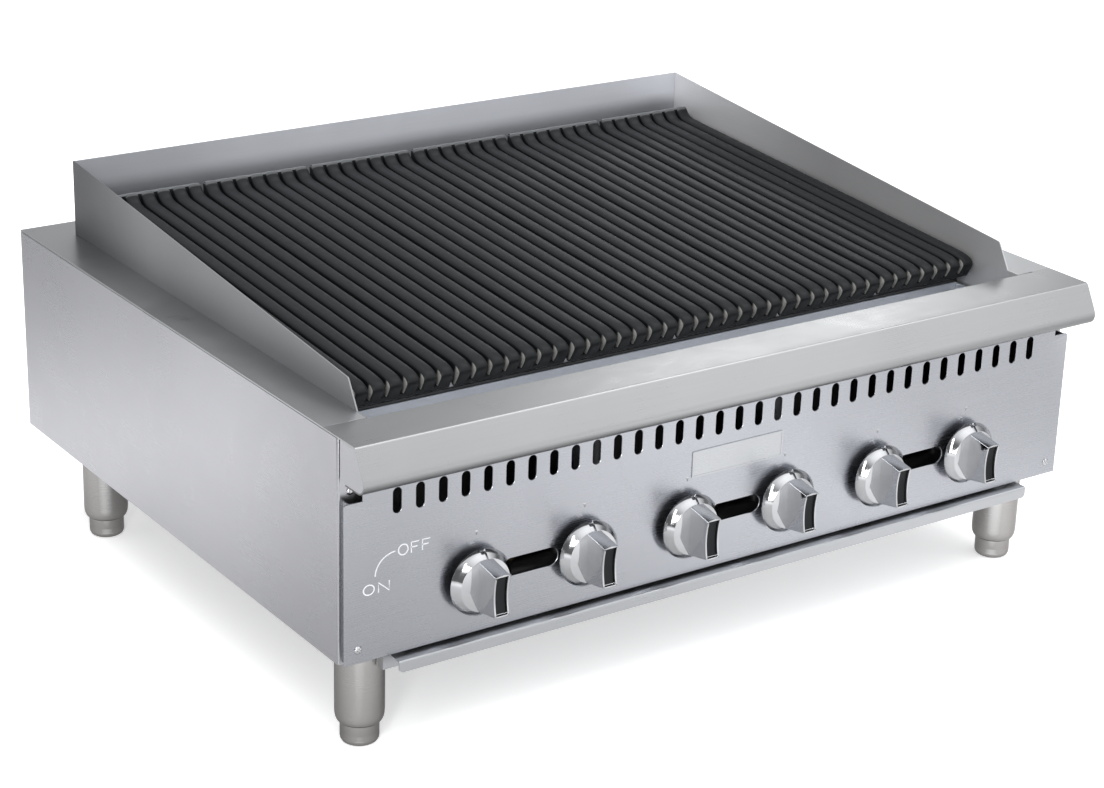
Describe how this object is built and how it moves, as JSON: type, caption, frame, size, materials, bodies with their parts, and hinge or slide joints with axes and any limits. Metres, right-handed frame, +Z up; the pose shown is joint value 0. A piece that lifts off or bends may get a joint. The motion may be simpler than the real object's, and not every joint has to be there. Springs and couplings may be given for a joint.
{
  "type": "gas charbroiler grill",
  "caption": "Counter-top gas charbroiler: stainless cabinet on legs, lift-out cast-iron grates, low splash guards, control panel with turning knobs and pull-out drip tray.",
  "frame": {"origin": "on the counter plane, at the centre of the footprint of the whole grill including the knobs and the gas inlet", "axes": "+X to the right as the cook faces the knobs, +Y to the rear, +Z up"},
  "size_m": [0.914, 0.783, 0.419],
  "materials": {
    "shell_steel": "fine brushed stainless, soft satin",
    "splash_steel": "smooth satin stainless",
    "inner_steel": "dull mill-finished steel",
    "leg_steel": "satin stainless tube",
    "grate_iron": "matt black cast iron, slightly grainy",
    "burner_iron": "raw cast iron",
    "radiant_iron": "raw cast iron",
    "knob_chrome": "bright chrome plate",
    "knob_insert": "glossy black",
    "name_plate": "blank brushed plate",
    "black_pipe": "black gas pipe",
    "valve_body": "die-cast, matt",
    "brass": "machined",
    "tube_aluminium": "drawn tube",
    "screw_steel": "bright round head"
  },
  "bodies": {
    "chassis": {"side_panel_left": "shell_steel", "side_panel_right": "shell_steel", "top_deck": "shell_steel", "front_rail": "shell_steel", "rail_end_caps": "shell_steel", "front_panel": "shell_steel", "name_plate": "name_plate", "splash_rear": "splash_steel", "splash_left": "splash_steel", "splash_right": "splash_steel", "back_panel": "shell_steel", "base_frame": "inner_steel", "leg_tubes": "leg_steel", "tray_rails": "inner_steel", "firebox_sides": "inner_steel", "firebox_front": "inner_steel", "firebox_rear": "inner_steel", "grease_trough": "inner_steel", "grate_supports": "inner_steel", "burners": "burner_iron", "burner_rest": "inner_steel", "radiants": "radiant_iron", "gas_manifold": "black_pipe", "inlet_pipe": "black_pipe", "manifold_brackets": "inner_steel", "gas_valves": "valve_body", "orifices": "brass", "pilot_valves": "brass", "pilot_tubes": "tube_aluminium", "pilot_burners": "inner_steel", "panel_screws": "screw_steel"},
    "knob_1_assembly": {"knob_1": "knob_chrome", "knob_insert_1": "knob_insert", "valve_stem_1": "brass"},
    "knob_2_assembly": {"knob_2": "knob_chrome", "knob_insert_2": "knob_insert", "valve_stem_2": "brass"},
    "knob_3_assembly": {"knob_3": "knob_chrome", "knob_insert_3": "knob_insert", "valve_stem_3": "brass"},
    "knob_4_assembly": {"knob_4": "knob_chrome", "knob_insert_4": "knob_insert", "valve_stem_4": "brass"},
    "knob_5_assembly": {"knob_5": "knob_chrome", "knob_insert_5": "knob_insert", "valve_stem_5": "brass"},
    "knob_6_assembly": {"knob_6": "knob_chrome", "knob_insert_6": "knob_insert", "valve_stem_6": "brass"},
    "tray": {"drip_tray": "shell_steel"},
    "grate_section_1": {"grate_1": "grate_iron"},
    "grate_section_2": {"grate_2": "grate_iron"},
    "grate_section_3": {"grate_3": "grate_iron"},
    "grate_section_4": {"grate_4": "grate_iron"},
    "grate_section_5": {"grate_5": "grate_iron"},
    "grate_section_6": {"grate_6": "grate_iron"},
    "foot_front_left_screwed": {"foot_front_left": "leg_steel"},
    "foot_front_right_screwed": {"foot_front_right": "leg_steel"},
    "foot_rear_left_screwed": {"foot_rear_left": "leg_steel"},
    "foot_rear_right_screwed": {"foot_rear_right": "leg_steel"}
  },
  "joints": [
    {"name": "knob_1_turn", "type": "hinge", "parent": "chassis", "child": "knob_1_assembly", "pos_m": [-0.3125, -0.3535, 0.163], "axis": [0, -1, 0], "range_deg": [0, 90]},
    {"name": "knob_2_turn", "type": "hinge", "parent": "chassis", "child": "knob_2_assembly", "pos_m": [-0.1875, -0.3535, 0.163], "axis": [0, -1, 0], "range_deg": [0, 90]},
    {"name": "knob_3_turn", "type": "hinge", "parent": "chassis", "child": "knob_3_assembly", "pos_m": [-0.0625, -0.3535, 0.163], "axis": [0, -1, 0], "range_deg": [0, 90]},
    {"name": "knob_4_turn", "type": "hinge", "parent": "chassis", "child": "knob_4_assembly", "pos_m": [0.0625, -0.3535, 0.163], "axis": [0, -1, 0], "range_deg": [0, 90]},
    {"name": "knob_5_turn", "type": "hinge", "parent": "chassis", "child": "knob_5_assembly", "pos_m": [0.1875, -0.3535, 0.163], "axis": [0, -1, 0], "range_deg": [0, 90]},
    {"name": "knob_6_turn", "type": "hinge", "parent": "chassis", "child": "knob_6_assembly", "pos_m": [0.3125, -0.3535, 0.163], "axis": [0, -1, 0], "range_deg": [0, 90]},
    {"name": "drip_tray_pull", "type": "slide", "parent": "chassis", "child": "tray", "axis": [0, -1, 0], "range_m": [0, 0.6]},
    {"name": "grate_1_lift", "type": "slide", "parent": "chassis", "child": "grate_section_1", "axis": [0, 0, 1], "range_m": [0, 0.15]},
    {"name": "grate_2_lift", "type": "slide", "parent": "chassis", "child": "grate_section_2", "axis": [0, 0, 1], "range_m": [0, 0.15]},
    {"name": "grate_3_lift", "type": "slide", "parent": "chassis", "child": "grate_section_3", "axis": [0, 0, 1], "range_m": [0, 0.15]},
    {"name": "grate_4_lift", "type": "slide", "parent": "chassis", "child": "grate_section_4", "axis": [0, 0, 1], "range_m": [0, 0.15]},
    {"name": "grate_5_lift", "type": "slide", "parent": "chassis", "child": "grate_section_5", "axis": [0, 0, 1], "range_m": [0, 0.15]},
    {"name": "grate_6_lift", "type": "slide", "parent": "chassis", "child": "grate_section_6", "axis": [0, 0, 1], "range_m": [0, 0.15]},
    {"name": "foot_front_left_adjust", "type": "slide", "parent": "chassis", "child": "foot_front_left_screwed", "axis": [0, 0, -1], "range_m": [0, 0.02]},
    {"name": "foot_front_right_adjust", "type": "slide", "parent": "chassis", "child": "foot_front_right_screwed", "axis": [0, 0, -1], "range_m": [0, 0.02]},
    {"name": "foot_rear_left_adjust", "type": "slide", "parent": "chassis", "child": "foot_rear_left_screwed", "axis": [0, 0, -1], "range_m": [0, 0.02]},
    {"name": "foot_rear_right_adjust", "type": "slide", "parent": "chassis", "child": "foot_rear_right_screwed", "axis": [0, 0, -1], "range_m": [0, 0.02]}
  ]
}
